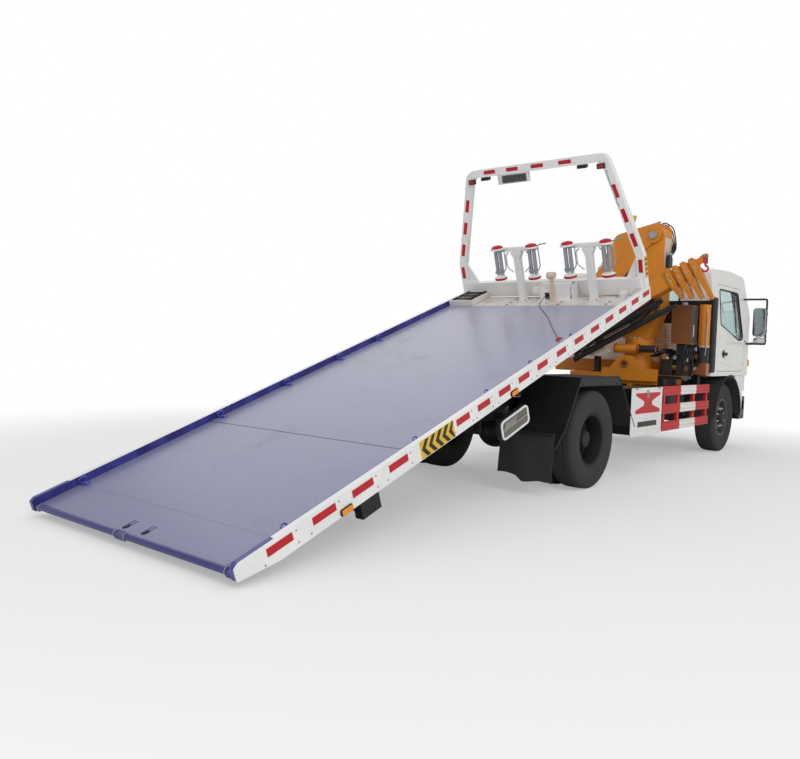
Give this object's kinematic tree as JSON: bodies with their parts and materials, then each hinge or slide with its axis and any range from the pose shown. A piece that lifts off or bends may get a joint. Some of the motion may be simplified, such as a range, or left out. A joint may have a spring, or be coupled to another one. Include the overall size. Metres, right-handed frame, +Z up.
{
  "type": "flatbed tow truck with a folding crane",
  "caption": "Cab-over flatbed recovery truck, tail of the tilting slide bed on the ground, with a folding knuckle-boom crane, winch, headboard loop and outriggers.",
  "frame": {"origin": "ground under the middle of the truck's length and width", "axes": "+X forward, +Y to the driver's left, +Z up"},
  "size_m": [10.5296, 2.9854, 3.6563],
  "materials": {
    "bed_lavender": "lavender-blue chequer plate",
    "bed_white": "white paint",
    "bumper_white": "off-white paint",
    "cab_glass": "tinted glass",
    "cab_trim": "grained dark plastic and cloth",
    "cab_white": "gloss off-white paint",
    "chassis_black": "satin black paint",
    "crane_orange": "orange-yellow enamel",
    "cylinder_black": "gloss black paint",
    "engine_grey": "dull grey paint",
    "flap_rubber": "thick black rubber sheet",
    "guard_red_white": "white paint with red bands",
    "hook_red": "dull red paint",
    "lamp": "clear lamp lens",
    "mirror_black": "black plastic and chromed arms",
    "rack_grey": "silver-grey paint",
    "roller_steel": "dark worn steel",
    "rope_steel": "galvanised wire",
    "tail_lamp": "ribbed lamp lens in a white frame",
    "tyre_rubber": "worn rubber",
    "wheel_steel": "dusty dark paint"
  },
  "bodies": {
    "chassis": {"frame_rails": "chassis_black", "engine_block": "engine_grey", "front_axle": "chassis_black", "rear_axle": "chassis_black", "leaf_springs": "chassis_black", "chassis_tanks": "chassis_black", "rear_fenders": "chassis_black", "mud_flaps": "flap_rubber", "front_fenders": "chassis_black", "side_guards": "guard_red_white", "toolboxes": "guard_red_white", "front_bumper": "bumper_white", "headlamps": "lamp", "crane_base": "crane_orange", "air_intake": "chassis_black", "slew_cylinder": "crane_orange"},
    "cab": {"cab_shell": "cab_white", "cab_glass": "cab_glass", "cab_interior": "cab_trim", "mirrors": "mirror_black"},
    "tilting_frame": {"tilt_frame": "chassis_black", "tail_lamps": "tail_lamp"},
    "wheel_lift": {"lift_crossbar": "chassis_black"},
    "bed": {"bed_deck": "bed_lavender", "bed_beams": "chassis_black", "bed_rails": "bed_white", "headboard": "bed_white", "cradle_rack": "rack_grey", "winch": "rack_grey", "tail_roller": "roller_steel", "lashing_rings": "bed_lavender", "winch_rope": "rope_steel", "winch_hook": "hook_red"},
    "crane_column": {"crane_column": "crane_orange"},
    "inner_boom": {"inner_boom": "crane_orange", "knuckle_cylinders": "cylinder_black"},
    "outer_boom": {"outer_boom": "crane_orange", "boom_cylinders": "cylinder_black"},
    "boom_section_1": {"boom_section_1": "crane_orange"},
    "boom_section_2": {"boom_section_2": "crane_orange"},
    "boom_section_3": {"boom_section_3": "crane_orange"},
    "crane_hook": {"crane_hook": "hook_red"},
    "steering_knuckle_left": {"knuckle_left": "chassis_black"},
    "front_wheel_left": {"front_tyre_left": "tyre_rubber", "front_rim_left": "wheel_steel"},
    "rear_wheels_left": {"rear_tyres_left": "tyre_rubber", "rear_rims_left": "wheel_steel"},
    "door_left": {"door_left": "cab_white", "door_glass_left": "cab_glass"},
    "outrigger_left": {"outrigger_beam_left": "crane_orange"},
    "outrigger_leg_left": {"outrigger_leg_left": "cylinder_black"},
    "steering_knuckle_right": {"knuckle_right": "chassis_black"},
    "front_wheel_right": {"front_tyre_right": "tyre_rubber", "front_rim_right": "wheel_steel"},
    "rear_wheels_right": {"rear_tyres_right": "tyre_rubber", "rear_rims_right": "wheel_steel"},
    "door_right": {"door_right": "cab_white", "door_glass_right": "cab_glass"},
    "outrigger_right": {"outrigger_beam_right": "crane_orange"},
    "outrigger_leg_right": {"outrigger_leg_right": "cylinder_black"}
  },
  "joints": [
    {"name": "steer_left", "type": "hinge", "parent": "chassis", "child": "steering_knuckle_left", "pos_m": [4.02882, 0.8, 0.516], "axis": [0, 0, 1], "range_deg": [-35, 35]},
    {"name": "front_wheel_spin_left", "type": "hinge", "parent": "steering_knuckle_left", "child": "front_wheel_left", "pos_m": [4.02882, 0.985, 0.516], "axis": [0, 1, 0], "continuous": true},
    {"name": "rear_wheel_spin_left", "type": "hinge", "parent": "chassis", "child": "rear_wheels_left", "pos_m": [-0.56018, 1.062, 0.516], "axis": [0, 1, 0], "continuous": true},
    {"name": "door_hinge_left", "type": "hinge", "parent": "cab", "child": "door_left", "pos_m": [4.60982, 1.209, 1.5], "axis": [0, 0, -1], "range_deg": [0, 70]},
    {"name": "outrigger_out_left", "type": "slide", "parent": "chassis", "child": "outrigger_left", "axis": [0, 1, 0], "range_m": [0, 0.8]},
    {"name": "outrigger_down_left", "type": "slide", "parent": "outrigger_left", "child": "outrigger_leg_left", "axis": [0, 0, -1], "range_m": [0, 0.85]},
    {"name": "steer_right", "type": "hinge", "parent": "chassis", "child": "steering_knuckle_right", "pos_m": [4.02882, -0.8, 0.516], "axis": [0, 0, 1], "range_deg": [-35, 35]},
    {"name": "front_wheel_spin_right", "type": "hinge", "parent": "steering_knuckle_right", "child": "front_wheel_right", "pos_m": [4.02882, -0.985, 0.516], "axis": [0, 1, 0], "continuous": true},
    {"name": "rear_wheel_spin_right", "type": "hinge", "parent": "chassis", "child": "rear_wheels_right", "pos_m": [-0.56018, -1.062, 0.516], "axis": [0, 1, 0], "continuous": true},
    {"name": "door_hinge_right", "type": "hinge", "parent": "cab", "child": "door_right", "pos_m": [4.60982, -1.209, 1.5], "axis": [0, 0, 1], "range_deg": [0, 70]},
    {"name": "outrigger_out_right", "type": "slide", "parent": "chassis", "child": "outrigger_right", "axis": [0, -1, 0], "range_m": [0, 0.8]},
    {"name": "outrigger_down_right", "type": "slide", "parent": "outrigger_right", "child": "outrigger_leg_right", "axis": [0, 0, -1], "range_m": [0, 0.85]},
    {"name": "cab_tilt", "type": "hinge", "parent": "chassis", "child": "cab", "pos_m": [5.11982, 0, 0.93], "axis": [0, 1, 0], "range_deg": [0, 45]},
    {"name": "bed_tilt", "type": "hinge", "parent": "chassis", "child": "tilting_frame", "pos_m": [-1.76018, 0, 0.9], "axis": [0, 1, 0], "range_deg": [0, 19.4]},
    {"name": "bed_slide", "type": "slide", "parent": "tilting_frame", "child": "bed", "axis": [0.9432, 0, 0.3322], "range_m": [0, 0.74]},
    {"name": "lift_extend", "type": "slide", "parent": "tilting_frame", "child": "wheel_lift", "axis": [-0.9432, 0, -0.3322], "range_m": [-0.45, 0.3]},
    {"name": "crane_slew", "type": "hinge", "parent": "chassis", "child": "crane_column", "pos_m": [2.45982, -0.4, 1.57], "axis": [0, 0, 1], "range_deg": [-200, 200]},
    {"name": "crane_luff", "type": "hinge", "parent": "crane_column", "child": "inner_boom", "pos_m": [2.45982, -0.6, 3.05], "axis": [1, 0, 0], "range_deg": [0, 125]},
    {"name": "crane_knuckle", "type": "hinge", "parent": "inner_boom", "child": "outer_boom", "pos_m": [2.12982, 0.7, 1.53], "axis": [1, 0, 0], "range_deg": [0, 150]},
    {"name": "boom_extend_1", "type": "slide", "parent": "outer_boom", "child": "boom_section_1", "axis": [0, -0.8788, 0.4772], "range_m": [0, 0.75]},
    {"name": "boom_extend_2", "type": "slide", "parent": "boom_section_1", "child": "boom_section_2", "axis": [0, -0.8788, 0.4772], "range_m": [0, 0.75]},
    {"name": "boom_extend_3", "type": "slide", "parent": "boom_section_2", "child": "boom_section_3", "axis": [0, -0.8788, 0.4772], "range_m": [0, 0.75]},
    {"name": "hook_swing", "type": "hinge", "parent": "boom_section_3", "child": "crane_hook", "pos_m": [2.12982, -1.36296, 2.71837], "axis": [1, 0, 0], "range_deg": [-150, 0]}
  ],
  "couplings": [
    {"joint": "steer_right", "follows": "steer_left", "ratio": 1},
    {"joint": "crane_slew", "follows": "crane_luff", "ratio": -0.07},
    {"joint": "crane_knuckle", "follows": "crane_luff", "ratio": 0.12},
    {"joint": "boom_extend_2", "follows": "boom_extend_1", "ratio": 1},
    {"joint": "boom_extend_3", "follows": "boom_extend_1", "ratio": 1},
    {"joint": "outrigger_down_left", "follows": "outrigger_out_left", "ratio": 1.0625},
    {"joint": "outrigger_down_right", "follows": "outrigger_out_right", "ratio": 1.0625}
  ]
}
